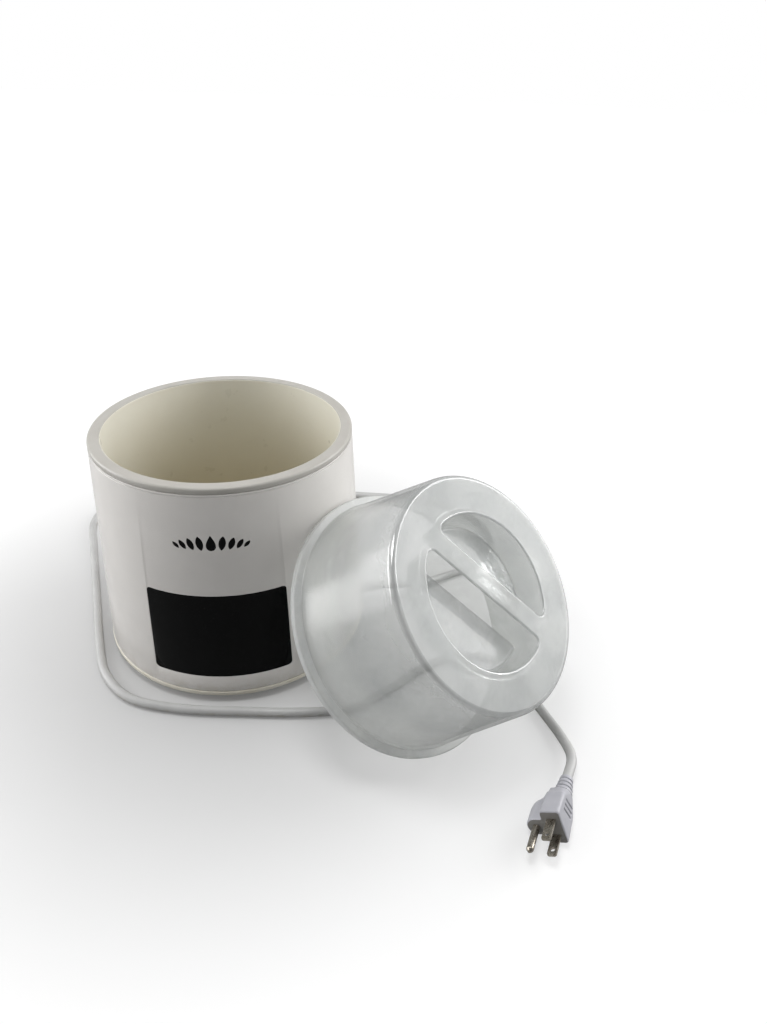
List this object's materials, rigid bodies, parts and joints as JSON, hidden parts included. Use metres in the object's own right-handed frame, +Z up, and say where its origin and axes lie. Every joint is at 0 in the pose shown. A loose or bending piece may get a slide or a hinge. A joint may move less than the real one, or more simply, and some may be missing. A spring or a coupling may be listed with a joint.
{
  "type": "paraffin wax bath",
  "caption": "Round paraffin wax bath with an open heated pot, a dark touch panel, a clear domed lid leaning on its side and a mains lead with plug.",
  "frame": {"origin": "on the pot's vertical axis, in the plane of the table that the feet stand on", "axes": "+Z up through the pot's mouth; -Y towards the control panel; +X to the right of someone facing the panel"},
  "size_m": [0.4358, 0.4638, 0.1935],
  "materials": {
    "shell_plastic": "moulded, glossy",
    "rim_plastic": "moulded, satin",
    "pot_coating": "cream non-stick coating on aluminium",
    "insulation": "glass fibre felt",
    "bare_aluminium": "cast",
    "tube_steel": "heat darkened",
    "zinc_steel": "zinc plated",
    "tan_plastic": "phenolic",
    "ceramic": "glazed ceramic",
    "wire_black": "wire insulation",
    "wire_white": "silicone wire insulation",
    "base_plastic": "moulded, satin",
    "foot_rubber": "matte",
    "panel_black": "polished",
    "board_green": "solder mask",
    "display_dark": "moulded",
    "cable_grey": "flat ribbon",
    "relay_blue": "moulded",
    "transformer_yellow": "taped winding",
    "block_green": "moulded",
    "cord_white": "smooth PVC sheath",
    "plug_plastic": "moulded PVC",
    "nickel": "dull nickel plate",
    "clear_plastic": "clear, slightly cloudy and scuffed"
  },
  "bodies": {
    "bath": {"outer_shell": "shell_plastic", "rim_ring": "rim_plastic", "wax_pot": "pot_coating", "insulation_sleeve": "insulation", "heating_plate": "bare_aluminium", "heating_element": "tube_steel", "plate_nuts": "zinc_steel", "thermostat": "tan_plastic", "thermal_fuse": "ceramic", "fuse_clip": "zinc_steel", "temperature_sensor": "zinc_steel", "sensor_clip": "zinc_steel", "sensor_lead": "wire_black", "base_plate": "base_plastic", "rubber_feet": "foot_rubber", "base_screws": "zinc_steel", "control_panel": "panel_black", "display_board": "board_green", "led_display": "display_dark", "touch_springs": "zinc_steel", "board_screws": "zinc_steel", "display_cable": "cable_grey", "power_board": "board_green", "relay": "relay_blue", "transformer": "transformer_yellow", "filter_capacitors": "display_dark", "terminal_block": "block_green", "mains_wires": "wire_black", "heater_wires": "wire_white", "earth_lug": "zinc_steel", "earth_screw": "zinc_steel", "cord_gland": "cord_white", "power_cord": "cord_white", "plug_relief": "plug_plastic", "plug_body": "plug_plastic", "plug_blades": "nickel", "ground_pin": "nickel"},
    "lid": {"lid": "clear_plastic"}
  },
  "joints": [
    {"name": "lid_lift", "type": "slide", "parent": "bath", "child": "lid", "axis": [0, 0, 1], "range_m": [0, 0.25]}
  ]
}
